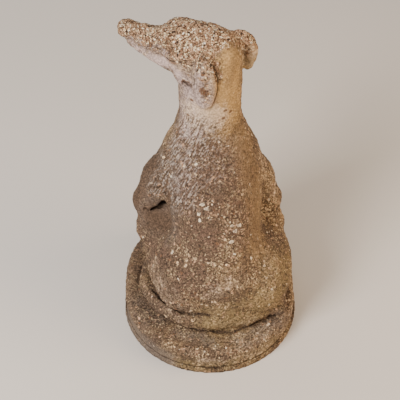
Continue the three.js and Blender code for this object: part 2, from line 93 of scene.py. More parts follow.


# Weathering, and painted light and shade. Each patch is a strength, a radius and a route over the
# surface, all in metres.
PATCHES = {
    # The cement skin is whole here, and no aggregate shows.
    "bare": [
        (1.0, 0.046, [(-0.002, -0.045, 0.400), (-0.006, -0.045, 0.455)]),
        (0.9, 0.030, [(-0.024, -0.032, 0.405), (-0.028, -0.036, 0.500)]),
        (0.5, 0.013, [(0.122, -0.098, 0.488), (0.100, -0.089, 0.470)]),
        (1.0, 0.013, [(0.092, -0.085, 0.464), (0.050, -0.044, 0.466)]),
        (0.8, 0.018, [(0.070, -0.062, 0.470), (0.050, -0.044, 0.466)]),
        (0.4, 0.020, [(0.010, -0.012, 0.492), (0.008, -0.012, 0.436)]),
        (0.45, 0.026, RIGHT_FLANK),
        (0.8, 0.016, PLINTH_LEFT_SIDE),
        (0.8, 0.026, [(0.100, -0.050, 0.176), (0.088, -0.030, 0.186)]),
        (0.7, 0.018, [(-0.066, -0.070, 0.484), (-0.063, -0.075, 0.457)]),
    ],
    # Rough places on the whole skin.
    "rough": [
        (0.55, 0.013, [(0.012, -0.012, 0.492), (0.004, -0.012, 0.440)]),
        (0.8, 0.010, [(-0.004, -0.026, 0.500), (-0.012, -0.022, 0.474)]),
        (0.7, 0.018, [(0.034, -0.020, 0.380), (-0.010, -0.010, 0.380)]),
    ],
    # The cement has washed out from between coarse crumbs of aggregate.
    "crumbly": [
        (1.0, 0.030, [(0.134, -0.116, 0.514), (0.090, -0.100, 0.520), (0.047, -0.088, 0.530)]),
        (1.0, 0.042, [(0.047, -0.080, 0.530), (0.020, -0.070, 0.532), (-0.010, -0.050, 0.524)]),
        (0.8, 0.030, [(0.060, -0.060, 0.510), (0.026, -0.040, 0.505)]),
        (0.9, 0.022, [(-0.030, -0.080, 0.512), (-0.053, -0.074, 0.509), (-0.064, -0.070, 0.492)]),
        (0.6, 0.013, [(0.012, -0.012, 0.492), (0.004, -0.012, 0.440)]),
        (0.8, 0.010, [(-0.004, -0.024, 0.500), (-0.012, -0.022, 0.474)]),
        (0.25, 0.030, [(0.012, 0.045, 0.272), (-0.044, 0.056, 0.238), (-0.034, 0.069, 0.215)]),
        (0.25, 0.016, [(0.050, 0.158, 0.040), (-0.060, 0.154, 0.042), (-0.104, 0.122, 0.040)]),
    ],
    # Pale lime runs in short strokes down the shoulders.
    "streaky": [
        (1.0, 0.046, [(0.038, -0.016, 0.358), (0.056, -0.007, 0.323), (0.060, 0.010, 0.280)]),
        (0.9, 0.022, [(0.081, -0.041, 0.284), (0.086, -0.034, 0.240)]),
        (0.35, 0.045, [(-0.010, 0.010, 0.360), (0.000, 0.026, 0.310)]),
    ],
    "mauve": [
        (1.0, 0.016, [(0.126, -0.100, 0.496), (0.091, -0.088, 0.463), (0.052, -0.046, 0.462)]),
        (1.0, 0.024, [(0.012, -0.012, 0.492), (0.006, -0.012, 0.436)]),
        (0.9, 0.040, [(0.036, -0.040, 0.440), (0.036, -0.036, 0.385)]),
        (0.8, 0.020, [(0.110, -0.090, 0.500), (0.060, -0.050, 0.480)]),
        (0.35, 0.050, [(0.050, -0.010, 0.340), (0.050, 0.010, 0.290)]),
        (0.3, 0.050, [(0.112, -0.060, 0.240), (0.112, -0.050, 0.200)]),
    ],
    "olive": [
        (1.0, 0.036, [(-0.024, -0.030, 0.500), (-0.030, -0.030, 0.440), (-0.036, -0.024, 0.390)]),
        (0.5, 0.036, RIGHT_FLANK),
        (0.8, 0.018, [(-0.004, -0.018, 0.412), (-0.020, -0.020, 0.396)]),
        # Olive skin on the right arm, laid partly as painted light on its shaded side; it also holds
        # off the painted hollow shade there.
        (0.4, 0.024, [(-0.104, -0.040, 0.300), (-0.118, -0.040, 0.220)]),
        # Olive skin of the far ear, laid partly as painted light on its shaded inner side; it also
        # holds off the painted hollow shade there.
        (0.9, 0.022, [(-0.050, -0.072, 0.498), (-0.066, -0.070, 0.484), (-0.063, -0.075, 0.457)]),
        (0.25, 0.050, [(-0.080, 0.100, 0.120), (-0.110, 0.070, 0.150)]),
    ],
    "moss": [
        (0.8, 0.045, [(-0.104, 0.099, 0.115), (-0.060, 0.118, 0.085), (-0.010, 0.126, 0.075)]),
        (0.6, 0.045, [(-0.110, 0.080, 0.150), (-0.120, 0.050, 0.120)]),
        (0.8, 0.016, [(-0.062, -0.076, 0.462), (-0.060, -0.080, 0.450)]),
        (0.7, 0.018, [(0.050, 0.160, 0.014), (-0.020, 0.174, 0.016), (-0.110, 0.130, 0.024)]),
        (0.4, 0.016, [(-0.004, -0.020, 0.408), (0.012, -0.014, 0.420)]),
    ],
    # Darker places, mixed to dark cement: dirt and stains, and painted shade in the furrows, under
    # the left elbow and between the far ear and the neck.
    "dark": [
        # Painted shade, with dirt, under the left elbow.
        (1.0, 0.034, [(0.096, -0.044, 0.160), (0.085, -0.016, 0.176)]),
        (0.65, 0.050, [(0.128, -0.070, 0.060), (0.138, 0.020, 0.040)]),
        (0.6, 0.030, [(0.126, 0.000, 0.048), (0.108, 0.060, 0.046)]),
        (1.0, 0.030, [(0.118, -0.056, 0.290), (0.126, -0.050, 0.240), (0.128, -0.049, 0.194)]),
        (0.4, 0.024, [(0.096, 0.000, 0.116), (0.108, -0.030, 0.120)]),
        (0.8, 0.013, [(-0.010, 0.038, 0.284), (-0.020, 0.036, 0.290)]),
        (0.6, 0.011, [(-0.028, 0.025, 0.305), (-0.022, 0.028, 0.300)]),
        (0.7, 0.013, [(-0.010, 0.059, 0.242), (0.000, 0.060, 0.240)]),
        (0.6, 0.015, [(0.012, 0.078, 0.202), (0.022, 0.074, 0.206)]),
        (0.6, 0.020, [(0.040, 0.050, 0.216), (0.056, 0.036, 0.222)]),
        (0.25, 0.016, [(-0.080, 0.100, 0.046), (-0.096, 0.092, 0.046)]),
        (0.58, 0.028, RIGHT_FLANK),
        # Painted shade in the gap between the far ear and the neck.
        (0.5, 0.014, [(-0.037, -0.050, 0.512), (-0.036, -0.037, 0.488), (-0.028, -0.030, 0.458)]),
        (0.35, 0.026, [(-0.091, 0.073, 0.163), (-0.095, 0.090, 0.140)]),
        (0.4, 0.014, [(0.128, -0.112, 0.516), (0.112, -0.106, 0.520)]),
        (0.4, 0.014, [(0.078, -0.098, 0.524), (0.066, -0.095, 0.528)]),
        (0.35, 0.012, [(0.120, -0.098, 0.492), (0.094, -0.086, 0.468)]),
        # Painted shade along the furrows between the arms and the back.
        (0.6, 0.010, [(0.070, -0.022, 0.300), (0.070, -0.006, 0.262), (0.072, -0.012, 0.222)]),
        (0.4, 0.006, [(-0.074, -0.034, 0.318), (-0.086, -0.025, 0.275), (-0.092, -0.026, 0.210)]),
    ],
    # Brown water stains, and a painted shadow under the jaw's corner.
    "stain": [
        (0.5, 0.0045, [(-0.002, -0.031, 0.505), (-0.012, -0.025, 0.479), (-0.014, -0.023, 0.462)]),
        (0.8, 0.0058, [(0.014, -0.015, 0.456), (0.008, -0.014, 0.450)]),
        # Painted shadow, with dirt, under the jaw's corner.
        (1.0, 0.0040, [(0.041, -0.041, 0.452), (0.033, -0.037, 0.450)]),
        (0.5, 0.0050, [(0.070, -0.068, 0.482), (0.055, -0.048, 0.482)]),
        *(spot(1.0, 0.0026, place) for place in SPOTS),
    ],
    "flake": [spot(1.0, 0.0028, place) for place in FLAKES],
    # Purple-brown stone between the lichens.
    "dusk": [
        (0.7, 0.050, [(0.044, -0.010, 0.340), (-0.020, 0.005, 0.330)]),
        (1.0, 0.050, [(-0.010, 0.030, 0.304), (0.010, 0.056, 0.226)]),
        (1.0, 0.042, [(0.060, 0.020, 0.215), (0.084, 0.004, 0.150)]),
        (1.0, 0.030, [(-0.048, 0.022, 0.290), (-0.038, 0.060, 0.225)]),
        (0.9, 0.030, [(0.060, 0.004, 0.300), (0.056, 0.016, 0.262)]),
        (0.6, 0.026, [(0.010, 0.100, 0.150), (0.040, 0.096, 0.140)]),
    ],
    "pale": [
        (1.0, 0.028, [(0.034, -0.024, 0.399), (-0.006, -0.014, 0.401)]),
        # Painted light on the far ear's shaded inner side.
        (0.9, 0.016, [(-0.060, -0.066, 0.488), (-0.058, -0.070, 0.462)]),
        (0.45, 0.040, [(0.100, 0.040, 0.110), (0.050, 0.088, 0.105)]),
        (0.5, 0.024, [(0.000, 0.116, 0.139), (-0.040, 0.106, 0.158)]),
        (0.5, 0.020, [(-0.020, 0.132, 0.062), (-0.066, 0.120, 0.066)]),
        (0.45, 0.022, [(-0.040, 0.148, 0.045), (-0.090, 0.130, 0.045), (-0.120, 0.100, 0.045)]),
        (0.8, 0.020, [(0.052, -0.062, 0.500), (0.030, -0.035, 0.480)]),
        (0.8, 0.014, [(0.020, 0.172, 0.024), (-0.060, 0.160, 0.022), (-0.116, 0.120, 0.024)]),
        (0.5, 0.020, [(-0.146, 0.050, 0.030), (-0.130, 0.094, 0.030)]),
        # Painted light on the right arm's shaded side.
        (0.5, 0.030, [(-0.104, -0.040, 0.300), (-0.118, -0.040, 0.220)]),
        (0.4, 0.012, [(0.040, 0.160, 0.040), (-0.060, 0.158, 0.040), (-0.100, 0.127, 0.040)]),
        (0.7, 0.050, [(0.060, -0.080, 0.520), (0.020, -0.060, 0.520)]),
        # Painted light on the far ear's shaded inner side.
        (0.7, 0.020, [(-0.053, -0.074, 0.509), (-0.066, -0.070, 0.480)]),
    ],
    "slate": [
        (0.8, 0.024, [(-0.110, 0.104, 0.045), (-0.080, 0.128, 0.045), (-0.040, 0.142, 0.045)]),
        (0.7, 0.018, [(0.060, 0.124, 0.045), (0.000, 0.143, 0.045)]),
        (0.6, 0.036, [(0.126, 0.050, 0.045), (0.104, 0.090, 0.045)]),
        (1.0, 0.022, PLINTH_LEFT_SIDE),
        (0.9, 0.036, [(0.108, -0.052, 0.290), (0.110, -0.046, 0.230), (0.092, -0.024, 0.172)]),
        (0.7, 0.030, [(0.064, -0.016, 0.320), (0.064, 0.006, 0.250), (0.065, 0.019, 0.182)]),
    ],
}


EAR_MIDDLE = Vector((0.0093, -0.0150, 0.4640))
EAR_RADII = (0.0205, 0.0450)  # across and down
EAR_OUTLINE = [
    tuple(EAR_MIDDLE + Vector((EAR_RADII[0] * math.sin(a), 0, EAR_RADII[1] * math.cos(a))))
    for a in np.radians(range(-300, 25, 12))
]
TAIL_GROOVE = [
    (0.008, 0.121, 0.083), (0.028, 0.117, 0.081), (0.058, 0.104, 0.078), (0.084, 0.080, 0.074),
    (0.104, 0.050, 0.072),
]
TAIL_FOOT = [
    (0.126, -0.032, 0.045), (0.124, 0.003, 0.045), (0.115, 0.031, 0.045), (0.103, 0.052, 0.045),
    (0.084, 0.077, 0.045), (0.055, 0.102, 0.045), (0.021, 0.120, 0.045), (-0.004, 0.126, 0.045),
    (-0.034, 0.124, 0.045),
]
RUMP_FOOT = [(-0.034, 0.124, 0.045), (-0.064, 0.113, 0.045), (-0.084, 0.100, 0.045)]
LIP = 0.003  # how far the rim at the plinth's foot stands out
LIP_HEIGHT = 0.009
HAIR = 0.001  # a small distance, for what should lie just above something
PLINTH_RADIUS = CAD_BOX[1].x  # of its half-round ends
PLINTH_STRAIGHT = CAD_BOX[1].y - PLINTH_RADIUS  # half of the straight stretch between them
FOOT_LINE = [
    (
        (PLINTH_RADIUS - LIP) * math.cos(a),
        (PLINTH_RADIUS - LIP) * math.sin(a) + math.copysign(PLINTH_STRAIGHT, math.sin(a)),
        LIP_HEIGHT + HAIR,
    )
    for a in np.radians(range(5, 370, 10))
]

# Creases cut into the new skin. Each is a depth, a half-width, how far it may be moved to lie where
# the form is deepest, and a route, all in metres.
CREASES = [
    (0.0026, 0.0045, 0.007, TAIL_GROOVE),
    (0.0028, 0.0045, 0.007, TAIL_FOOT),
    (0.0014, 0.0034, 0.004, RUMP_FOOT),
    (0.0013, 0.0036, 0.007, EAR_OUTLINE),
    (0.0010, 0.0035, 0.003, FOOT_LINE),
    (0.0040, 0.0050, 0.004, [(0.106, -0.028, 0.190), (0.098, -0.034, 0.186), (0.087, -0.038, 0.189)]),
    (0.0060, 0.0065, 0.002, [(0.086, -0.036, 0.192), (0.076, -0.026, 0.206)]),
    (0.0036, 0.0055, 0.004, [(0.042, -0.040, 0.447), (0.030, -0.036, 0.446)]),
    (0.0018, 0.0035, 0.003, [(0.080, -0.077, 0.492), (0.070, -0.068, 0.482), (0.055, -0.048, 0.482)]),
]
# Soft furrows between the arms and the back, given in the same way. The one of negative depth is a
# swell under the right haunch.
FURROWS = [
    (0.0080, 0.0130, 0, [(0.072, -0.044, 0.312), (0.069, -0.018, 0.290), (0.070, -0.008, 0.230)]),
    (-0.0040, 0.0130, 0, [(-0.060, 0.117, 0.058), (-0.077, 0.110, 0.060), (-0.099, 0.099, 0.060)]),
    (0.0020, 0.0100, 0, [(-0.071, -0.036, 0.323), (-0.084, -0.025, 0.285), (-0.093, -0.026, 0.205)]),
]


def colour(name, description, default):
    """A colour property of the stone, in linear values."""
    return FloatVectorProperty(
        name=name, description=description, default=default, subtype="COLOR", min=0.0, max=1.0
    )


def length(name, description, default, low=0.0):
    """A length property, in metres."""
    return FloatProperty(
        name=name, description=description, default=default, min=low, unit="LENGTH", precision=5
    )


def power(name, description, default):
    """The power of a light, in watts."""
    return FloatProperty(name=name, description=description, default=default, unit="POWER")


class StoneRelief(bpy.types.PropertyGroup):
    """Sizes of the worn surface."""

    cell: length("Mesh cell", "Size of a cell of the new skin", 0.0030, 0.0005)
    smoothing: IntProperty(name="Smoothing", description="Rounds of smoothing", default=5, min=0)
    crispness: FloatProperty(
        name="Crispness", description="How much deeper the creases are cut", default=0.9
    )
    crease_rounds: IntProperty(
        name="Crease width", description="Rounds of averaging", default=12, min=1
    )
    lump: length("Lump size", "Across a broad lump of the worn surface", 0.024, 0.001)
    lump_height: length("Lump height", "Height of the broad lumps", 0.0022)
    knob: length("Knob size", "Across a knob of hard stone", 0.0075, 0.001)
    knob_height: length("Knob height", "How far the knobs stand out", 0.0026)
    crumb: length("Crumb size", "Across a crumb that stands out of washed stone", 0.0060, 0.001)
    crumb_height: length("Crumb height", "How far the crumbs stand out", 0.0022)
    reach: length("Relief reach", "Height of relief that counts as full", 0.0016, 0.0001)


class StoneGrains(bpy.types.PropertyGroup):
    """Sizes of what shows in the stone, each across one grain."""

    crumb: length("Crumb", "A coarse crumb of aggregate", 0.0032, 0.0005)
    chip: length("Chip", "A chip of light stone, here and there", 0.0046, 0.0005)
    speck: length("Speck", "A pale speck", 0.0030, 0.0005)
    pit: length("Pit", "A small dirty pit", 0.0032, 0.0005)
    streak: length("Streak", "A stroke of lime, across", 0.0027, 0.0005)
    grit: length("Grit", "A grain of sand", 0.0030, 0.0003)


class StoneColours(bpy.types.PropertyGroup):
    """Colours of the cement, its grains and what has grown on it."""

    cement: colour("Cement", "Worn cement between the grains", (0.232, 0.142, 0.071))
    # Dark cement is also the colour of the painted shade in hollows and furrows and under the left
    # elbow.
    cement_dark: colour("Dark cement", "Damp and dirty cement", (0.096, 0.059, 0.037))
    dusk: colour("Dusk", "Purple-brown stone", (0.120, 0.069, 0.046))
    russet: colour("Russet", "Cement stained by iron in the sand", (0.185, 0.100, 0.070))
    mauve: colour("Mauve skin", "Bluish skin of unworn cement", (0.440, 0.330, 0.298))
    olive: colour("Olive skin", "Yellowed skin of unworn cement", (0.405, 0.248, 0.100))
    moss: colour("Moss", "Dry yellow-green moss", (0.250, 0.176, 0.074))
    # Pale bloom is also laid as painted light on the far ear's shaded inner side and the right arm.
    pale: colour("Pale bloom", "Lime bloom and lichen", (0.580, 0.425, 0.295))
    slate: colour("Slate", "Grey-brown stone of the plinth's top", (0.132, 0.105, 0.085))
    lime: colour("Lime", "Strokes of lime", (0.470, 0.385, 0.325))
    cream: colour("Cream", "Pale specks", (0.610, 0.440, 0.245))
    flake: colour("Flakes", "Grey flakes of lichen", (0.600, 0.480, 0.350))
    # The stain colour also paints the shadow under the jaw's corner.
    stain: colour("Stains", "Brown water stains", (0.110, 0.052, 0.026))
    # The pits' colour also paints shade, with dirt, into the creases.
    pit: colour("Pits", "Dirt in the pits", (0.035, 0.020, 0.012))


class StudioStage(bpy.types.PropertyGroup):
    """Camera, floor and lights."""

    camera: FloatVectorProperty(
        name="Camera", description="Place of the camera", default=(0.0577, 1.1629, 1.4025),
        subtype="TRANSLATION",
    )
    azimuth: FloatProperty(
        name="Azimuth", description="Angle round the statue from its front",
        default=math.radians(178), subtype="ANGLE",
    )
    elevation: FloatProperty(
        name="Elevation", description="Angle above the floor",
        default=math.radians(45), subtype="ANGLE",
    )
    lens: FloatProperty(
        name="Lens", description="Focal length in millimetres", default=90.0, min=1.0
    )
    floor: colour("Floor", "Colour of the plain floor", (0.62, 0.57, 0.52))
    key_power: power("Key light", "Power of the main light", 74.0)
    fill_power: power("Fill light", "Power of the warm fill", 34.0)
    front_power: power("Front light", "Power of the light before the statue", 9.0)
    sky: FloatProperty(name="Sky", description="Brightness of the room", default=0.38, min=0.0)


# Fields over the mesh.

WELD = 1e-5  # the solid's triangles are joined where their corners are this close
FINE_ROUNDS = 8  # rounds of averaging that show a narrow hollow
BROAD_ROUNDS = 12  # and a broad one
WHOLE_SKIN_RELIEF = 0.15  # how much of the worn relief the whole skin keeps
LUMP_LEVEL = 0.6  # the texture's value that leaves the skin where it is
KNOB_LEVEL = 0.35
FAINT = 0.01  # a weight that is too small to count


def to_route(points, route):
    """The distance from each point to the nearest stretch of a route."""
    nearest = np.full(len(points), np.inf)
    for start, end in zip(route[:-1], route[1:]):
        a, b = np.array(start), np.array(end)
        along = np.clip((points - a) @ (b - a) / max(np.dot(b - a, b - a), 1e-12), 0, 1)
        nearest = np.minimum(nearest, np.linalg.norm(points - a - along[:, None] * (b - a), axis=1))
    return nearest


def over_surface(piece, route, step=0.006):
    """A route laid on the piece's surface, as points close together."""
    laid = []
    for start, end in zip(route[:-1], route[1:]):
        a, b = Vector(start), Vector(end)
        count = math.ceil((b - a).length / step)
        laid += [a.lerp(b, i / count) for i in range(count)]
    return [tuple(piece.closest_point_on_mesh(p)[1]) for p in [*laid, Vector(route[-1])]]


def patch_strength(piece, patches):
    """How strongly a kind of patch shows at each point, from 0 to 1. Most kinds are weathered stone;
    some are painted light and shade.
    """
    points = coordinates(piece.data)
    strength = np.zeros(len(points))
    for peak, radius, route in patches:
        away = to_route(points, over_surface(piece, route))
        strength = np.maximum(strength, peak * np.exp(-((away / radius) ** 2)))
    return strength


def coordinates(mesh):
    """The mesh's points as rows of x, y and z."""
    flat = np.empty(3 * len(mesh.vertices), np.float32)
    mesh.vertices.foreach_get("co", flat)
    return flat.reshape(-1, 3).astype(float)


def normals(mesh):
    """The mesh's point normals as rows of x, y and z."""
    flat = np.empty(3 * len(mesh.vertices), np.float32)
    mesh.vertex_normals.foreach_get("vector", flat)
    return flat.reshape(-1, 3).astype(float)


def place_points(mesh, points):
    """Moves the mesh's points, kept inside the solid's own box and with a flat underside."""
    low, high = CAD_BOX
    inside = np.clip(points, np.array(low), np.array(high))
    mesh.vertices.foreach_set("co", inside.astype(np.float32).ravel())
    mesh.update()


def neighbour_mean(mesh, values, rounds):
    """Values averaged with their neighbours' along the mesh's edges, again and again."""
    pairs = np.empty(2 * len(mesh.edges), np.int32)
    mesh.edges.foreach_get("vertices", pairs)
    a, b = pairs.reshape(-1, 2).T
    count = np.bincount(np.concatenate([a, b]), minlength=len(mesh.vertices))
    for _ in range(rounds):
        total = np.zeros_like(values)
        np.add.at(total, a, values[b])
        np.add.at(total, b, values[a])
        mean = total / np.maximum(count, 1).reshape(-1, *[1] * (values.ndim - 1))
        values = (values + mean) / 2
    return values


def keep_field(mesh, name, values):
    """Stores a value for each point, which the stone finish reads."""
    field = mesh.attributes.new(name, "FLOAT", "POINT")
    field.data.foreach_set("value", values.astype(np.float32))


# The piece.


def deselect_all():
    if bpy.context.object and bpy.context.object.mode != "OBJECT":
        bpy.ops.object.mode_set(mode="OBJECT")
    bpy.ops.object.select_all(action="DESELECT")


def copied_solid():
    """A copy of the part's solid with its loose triangles joined."""
    deselect_all()
    piece = bpy.data.objects.new(PIECE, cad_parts[NODE].data.copy())
    piece.data.name = PIECE
    bpy.context.scene.collection.objects.link(piece)
    bpy.context.view_layer.objects.active = piece
    piece.select_set(True)
    bpy.ops.object.mode_set(mode="EDIT")
    bpy.ops.mesh.select_all(action="SELECT")
    bpy.ops.mesh.remove_doubles(threshold=WELD)
    bpy.ops.object.mode_set(mode="OBJECT")
    piece.data.materials.clear()
    return piece


def apply(piece, kind, **settings):
    """Adds a modifier with its settings and applies it."""
    made = piece.modifiers.new(kind.title(), kind)
    for name, value in settings.items():
        setattr(made, name, value)
    bpy.ops.object.modifier_apply(modifier=made.name)


def skin_afresh(piece, relief):
    """Even quads in place of the solid's long triangles, with crisp creases and no facets."""
    apply(piece, "REMESH", mode="VOXEL", voxel_size=relief.cell, adaptivity=0.0)
    apply(piece, "SMOOTH", factor=0.5, iterations=relief.smoothing)
    points = coordinates(piece.data)
    softened = neighbour_mean(piece.data, points, relief.crease_rounds)
    points += relief.crispness * (points - softened)
    floor = points[:, 2] < relief.cell
    points[floor, 2] = 0.0
    place_points(piece.data, points)


def hollowness(mesh, points, rounds):
    """How far each point lies below the mean of the skin around it."""
    averaged = neighbour_mean(mesh, points, rounds)
    return np.einsum("ij,ij->i", averaged - points, normals(mesh))


def deepest_nearby(points, hollow, route, reach):
    """A route with each point moved to the deepest place near it, then evened out."""
    if reach == 0:
        return route
    found = []
    for point in np.array(route):
        away = np.linalg.norm(points - point, axis=1)
        near = np.flatnonzero(away < reach)
        best = near[np.argmax(hollow[near] * (1 - away[near] / reach))] if len(near) else None
        found.append(point if best is None else points[best])
    found = np.array(found)
    for _ in range(2):
        found[1:-1] = (found[:-2] + 2 * found[1:-1] + found[2:]) / 4
    return [tuple(p) for p in found]


def split_faces_near(piece, routes, reach):
    """Splits each face near the routes in four, so that narrow cuts keep their shape."""
    mesh = piece.data
    flat = np.empty(3 * len(mesh.polygons), np.float32)
    mesh.polygons.foreach_get("center", flat)
    centres = flat.reshape(-1, 3).astype(float)
    away = np.min([to_route(centres, route) for route in routes], axis=0)
    bpy.context.tool_settings.mesh_select_mode = (False, False, True)
    mesh.polygons.foreach_set("select", away < reach)
    bpy.ops.object.mode_set(mode="EDIT")
    bpy.ops.mesh.subdivide(number_cuts=1)
    bpy.ops.object.mode_set(mode="OBJECT")


def cut_creases(piece, relief):
    """Cuts the furrows and creases, and squares the rim at the foot.

    Gives each point's share of a crease.
    """
    mesh = piece.data
    points = coordinates(mesh)
    hollow = hollowness(mesh, points, FINE_ROUNDS)
    cuts = [
        (depth, half_width, deepest_nearby(points, hollow, over_surface(piece, route), snap))
        for depth, half_width, snap, route in [*FURROWS, *CREASES]
    ]
    split_faces_near(piece, [route for _, _, route in cuts[len(FURROWS):]], 2 * relief.cell)
    points = coordinates(mesh)
    facing = normals(mesh)
    in_crease = np.zeros(len(points))
    for number, (depth, half_width, route) in enumerate(cuts):
        share = np.clip(1 - (to_route(points, route) / half_width) ** 2, 0, 1) ** 1.5
        points -= depth * share[:, None] * facing
        if number >= len(FURROWS):
            in_crease = np.maximum(in_crease, share)
    place_points(mesh, squared_foot(points))
    return in_crease


def squared_foot(points):
    """The points with the rim at the plinth's foot standing out squarely again."""
    axis_y = np.clip(points[:, 1], -PLINTH_STRAIGHT, PLINTH_STRAIGHT)
    across = points[:, :2] - np.stack([np.zeros(len(points)), axis_y], axis=1)
    away = np.linalg.norm(across, axis=1)
    height = points[:, 2]
    side = (away > PLINTH_RADIUS - 3 * LIP) & (height < 2 * LIP_HEIGHT) & (height > HAIR)
    wanted = np.where(height < LIP_HEIGHT, PLINTH_RADIUS, PLINTH_RADIUS - LIP)
    scale = np.where(side, wanted / np.maximum(away, 1e-6), 1)
    points[:, :2] += across * (scale - 1)[:, None]
    return points


def weight_group(piece, name, weights):
    """A vertex group with a weight for each point."""
    group = piece.vertex_groups.new(name=name)
    for index in np.flatnonzero(weights > FAINT):
        group.add([int(index)], float(weights[index]), "REPLACE")
    return name


def worn_relief(piece, relief, bare, crumbly):
    """Lumps and knobs, lower where the skin is whole, and crumbs where the cement has washed out."""
    above = np.clip(coordinates(piece.data)[:, 2] / (2 * relief.cell), 0, 1)
    worn = weight_group(piece, "worn", (1 - (1 - WHOLE_SKIN_RELIEF) * bare) * above)
    washed = weight_group(piece, "washed", crumbly * (1 - bare))
    lumps = bpy.data.textures.new("lumps", "CLOUDS")
    lumps.noise_scale = relief.lump
    lumps.noise_depth = 2
    displace(piece, lumps, worn, relief.lump_height, LUMP_LEVEL)
    displace(piece, knob_texture("knobs", relief.knob), worn, -relief.knob_height, KNOB_LEVEL)
    displace(piece, knob_texture("crumbs", relief.crumb), washed, -relief.crumb_height, KNOB_LEVEL)
    place_points(piece.data, coordinates(piece.data))


def knob_texture(name, size):
    """Rounded knobs side by side."""
    knobs = bpy.data.textures.new(name, "VORONOI")
    knobs.noise_scale = size
    knobs.distance_metric = "DISTANCE"
    return knobs


def displace(piece, texture, group, height, level):
    """Raises the skin by a texture's share of a height."""
    apply(piece, "DISPLACE", texture=texture, texture_coords="LOCAL", vertex_group=group,
          strength=height, mid_level=level)


def keep_shape_fields(piece, smooth_form, relief):
    """Where the stone stands out in knobs and where it lies in a crease, for the stone finish."""
    mesh = piece.data
    facing = normals(mesh)
    height = np.einsum("ij,ij->i", coordinates(mesh) - smooth_form, facing)
    keep_field(mesh, "relief", np.clip(0.5 + height / (2 * relief.reach), 0, 1))
    depth = hollowness(mesh, smooth_form, BROAD_ROUNDS)
    keep_field(mesh, "hollow", np.clip(depth / relief.reach, 0, 1))


# The stone finish.

MIX_SHARE, MIX_FIRST, MIX_SECOND = 0, 6, 7  # a colour Mix node's sockets
MIX_RESULT = 2
WANDER = 0.006  # how far the grains' pattern is bent, and the size of the bends
BROAD, CLOUDY, PATCHY = 0.060, 0.026, 0.012  # sizes of the clouds in the stone
STROKE_TILT = -0.45  # of the lime strokes, in radians
STROKE_LENGTH = 5  # over their width


class Wire:
    """A socket of a finish. Arithmetic on it adds Math nodes."""

    def __init__(self, finish, socket):
        self.finish = finish
        self.socket = socket

    def math(self, operation, *terms):
        return self.finish.node("Math", {"operation": operation}, dict(enumerate(terms)))

    def __add__(self, other):
        return self.math("ADD", self, other)

    def __sub__(self, other):
        return self.math("SUBTRACT", self, other)

    def __rsub__(self, other):
        return self.math("SUBTRACT", other, self)

    def __mul__(self, other):
        return self.math("MULTIPLY", self, other)

    __radd__ = __add__
    __rmul__ = __mul__

    def above(self, low, high):
        """0 below low, 1 above high, and smooth between."""
        return self.finish.node(
            "MapRange", {"interpolation_type": "SMOOTHSTEP"},
            {"Value": self, "From Min": low, "From Max": high},
        )

    def other(self, output):
        """Another output of the node that this one comes from."""
        return Wire(self.finish, self.socket.node.outputs[output])


class Finish:
    """A material, built node by node."""

    def __init__(self, name):
        self.material = bpy.data.materials.new(name)
        self.material.use_nodes = True
        self.tree = self.material.node_tree
        self.tree.nodes.clear()

    def node(self, kind, settings=None, inputs=None, output=0):
        """Adds a node with settings and its inputs' values or links. Gives one output, if any."""
        made = self.tree.nodes.new("ShaderNode" + kind)
        for name, value in (settings or {}).items():
            if name == "stops":
                self.set_stops(made.color_ramp, value)
            else:
                setattr(made, name, value)
        for key, value in (inputs or {}).items():
            if isinstance(value, Wire):
                self.tree.links.new(value.socket, made.inputs[key])
            else:
                made.inputs[key].default_value = value
        return Wire(self, made.outputs[output]) if made.outputs else None

    @staticmethod
    def set_stops(ramp, stops):
        """Stops of a colour ramp, each a place and a colour."""
        ramp.interpolation = "CONSTANT"
        while len(ramp.elements) < len(stops):
            ramp.elements.new(0.5)
        for element, (position, rgb) in zip(ramp.elements, stops):
            element.position = position
            element.color = (*rgb, 1)

    def mix(self, share, first, second):
        """A colour between two, by a share."""
        def rgba(value):
            return value if isinstance(value, Wire) else (*value, 1)
        inputs = {MIX_SHARE: share, MIX_FIRST: rgba(first), MIX_SECOND: rgba(second)}
        return self.node("Mix", {"data_type": "RGBA"}, inputs, MIX_RESULT)

    def field(self, name):
        """A value stored for each point of the piece."""
        return self.node("Attribute", {"attribute_name": name}, output="Fac")

    def noise(self, place, size, detail=3.0):
        """Cloudy noise about 0.5, with features of a size in metres."""
        return self.node(
            "TexNoise", {"noise_dimensions": "3D"},
            {"Vector": place, "Scale": 1 / size, "Detail": detail, "Roughness": 0.6},
        )

    def shifted(self, place, by):
        """Another part of a pattern."""
        return self.node("VectorMath", {"operation": "ADD"}, {0: place, 1: (by, by, by)})

    def crumbs(self, place, size):
        """Angular grains side by side: how deep a point lies in its own, and two chance numbers."""
        scale = {"Vector": place, "Scale": 1 / size}
        near = self.node("TexVoronoi", {"voronoi_dimensions": "3D"}, scale)
        edge = {"voronoi_dimensions": "3D", "feature": "DISTANCE_TO_EDGE"}
        gap = self.node("TexVoronoi", edge, scale)
        chance = self.node("SeparateColor", {}, {"Color": near.other("Color")})
        return gap, chance, chance.other("Green")

    def ramp(self, share, stops):
        """A colour picked from stops by a share."""
        return self.node("ValToRGB", {"stops": stops}, {"Fac": share})


AGGREGATE = [
    (0.00, (0.68, 0.47, 0.28)),
    (0.26, (0.45, 0.265, 0.150)),
    (0.50, (0.90, 0.71, 0.50)),
    (0.62, (0.200, 0.098, 0.050)),
    (0.74, (0.54, 0.325, 0.195)),
    (0.93, (0.055, 0.032, 0.022)),
]


